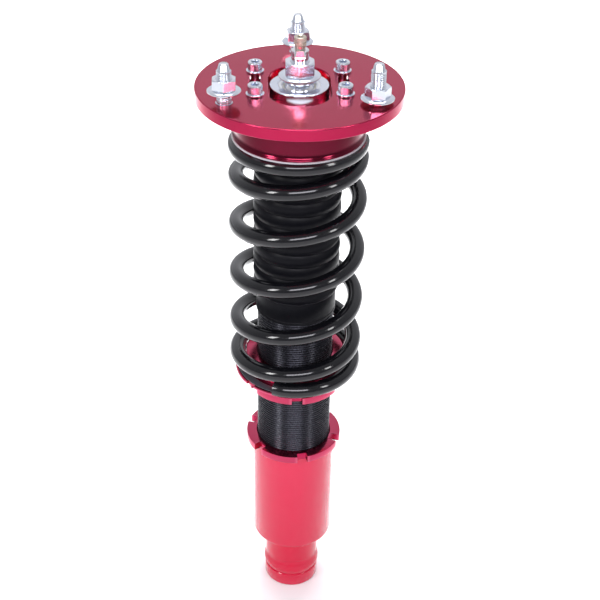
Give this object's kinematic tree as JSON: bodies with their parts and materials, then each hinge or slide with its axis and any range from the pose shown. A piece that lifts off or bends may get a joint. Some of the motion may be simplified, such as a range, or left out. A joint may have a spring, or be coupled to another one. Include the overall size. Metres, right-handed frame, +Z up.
{
  "type": "coilover strut",
  "caption": "Camber-adjustable coilover strut with a sliding pillowball top mount, coil spring, threaded monotube damper and screw-on lower body.",
  "frame": {"origin": "centre of the stud circle on the camber plate's top face", "axes": "+Z up through the strut tower along the studs, +Y the direction the carrier slides, -Y the side with two studs"},
  "size_m": [0.14, 0.14, 0.4711],
  "materials": {
    "red_anodised": "glossy anodised",
    "seat_anodised": "glossy anodised",
    "red_lacquer": "gloss",
    "zinc_steel": "bright zinc",
    "polished_steel": "polished",
    "liner_plastic": "matte",
    "thrust_plastic": "satin",
    "spring_black": "gloss",
    "bump_foam": "matte",
    "boot_rubber": "matte",
    "bare_aluminium": "machined",
    "band_bronze": "matte",
    "knob_brass": "satin",
    "tube_black": "satin",
    "seal_rubber": "matte",
    "isolator_grey": "matte"
  },
  "bodies": {
    "top_mount": {"top_plate": "red_anodised", "tower_studs": "zinc_steel", "stud_nuts": "zinc_steel"},
    "carrier": {"bearing_carrier": "red_anodised", "bearing_cup": "zinc_steel", "bearing_race": "polished_steel", "retaining_ring": "polished_steel", "carrier_screws": "zinc_steel", "screw_washers": "zinc_steel"},
    "liner": {"race_liner": "liner_plastic"},
    "strut_top": {"bearing_ball": "polished_steel", "upper_spacer": "zinc_steel", "lower_spacer": "zinc_steel", "top_nut": "zinc_steel", "piston_rod": "polished_steel", "upper_spring_seat": "seat_anodised", "thrust_washer": "thrust_plastic", "bump_stop": "bump_foam", "dust_boot": "boot_rubber", "rebound_stop": "zinc_steel", "rebound_shims": "polished_steel", "piston": "bare_aluminium", "piston_band": "band_bronze", "compression_shims": "polished_steel", "piston_nut": "zinc_steel"},
    "main_spring": {"spring": "spring_black"},
    "adjuster": {"adjuster_knob": "knob_brass", "adjuster_rod": "polished_steel"},
    "damper": {"threaded_tube": "tube_black", "boot_cuff": "boot_rubber", "gland_nut": "tube_black", "rod_wiper": "seal_rubber", "rod_guide": "bare_aluminium", "guide_bush": "band_bronze", "rod_seal": "seal_rubber", "guide_oring": "seal_rubber", "base_plug": "bare_aluminium", "gas_valve": "knob_brass"},
    "gas_piston": {"floating_piston": "bare_aluminium", "gas_piston_oring": "seal_rubber"},
    "perch_ring": {"perch_lock_ring": "red_anodised"},
    "perch": {"lower_perch": "red_anodised", "spring_isolator": "isolator_grey"},
    "lower_ring": {"lower_lock_ring": "red_anodised"},
    "lower_strut": {"lower_body": "red_lacquer"}
  },
  "joints": [
    {"name": "camber_slide", "type": "slide", "parent": "top_mount", "child": "carrier", "axis": [0, 1, 0], "range_m": [-0.004, 0.008]},
    {"name": "bearing_swivel", "type": "hinge", "parent": "carrier", "child": "liner", "pos_m": [0, 0.00225, -0.008], "axis": [0, 0, 1], "range_deg": [-40, 40]},
    {"name": "strut_tilt", "type": "hinge", "parent": "liner", "child": "strut_top", "pos_m": [0, 0.00225, -0.008], "axis": [1, 0, 0], "range_deg": [-3, 3]},
    {"name": "damping_adjust", "type": "hinge", "parent": "strut_top", "child": "adjuster", "pos_m": [0, 0.00225, 0.03], "axis": [0, 0, 1], "range_deg": [0, 900]},
    {"name": "damper_stroke", "type": "slide", "parent": "strut_top", "child": "damper", "axis": [0, 0, 1], "range_m": [0, 0.06], "stiffness_N_per_m": 60000, "springref_m": -0.003, "deforming": ["spring", "dust_boot"]},
    {"name": "spring_drop", "type": "slide", "parent": "strut_top", "child": "main_spring", "axis": [0, 0, 1], "range_m": [-0.0105, 0]},
    {"name": "gas_piston_float", "type": "slide", "parent": "damper", "child": "gas_piston", "axis": [0, 0, 1], "range_m": [-0.0135, 0]},
    {"name": "perch_height", "type": "slide", "parent": "damper", "child": "perch_ring", "axis": [0, 0, 1], "range_m": [-0.0105, 0]},
    {"name": "perch_turn", "type": "hinge", "parent": "perch_ring", "child": "perch", "pos_m": [0, 0.00225, -0.23], "axis": [0, 0, 1], "range_deg": [-1800, 0]},
    {"name": "body_height", "type": "slide", "parent": "damper", "child": "lower_ring", "axis": [0, 0, 1], "range_m": [-0.0155, 0.0155]},
    {"name": "body_turn", "type": "hinge", "parent": "lower_ring", "child": "lower_strut", "pos_m": [0, 0.00225, -0.34], "axis": [0, 0, 1], "range_deg": [-2700, 2700]}
  ],
  "couplings": [
    {"joint": "spring_drop", "follows": "perch_turn", "m_per_rad": 0.00031831},
    {"joint": "perch_height", "follows": "perch_turn", "m_per_rad": 0.00031831},
    {"joint": "body_height", "follows": "body_turn", "m_per_rad": 0.00031831},
    {"joint": "gas_piston_float", "follows": "damper_stroke", "ratio": -0.2191}
  ]
}
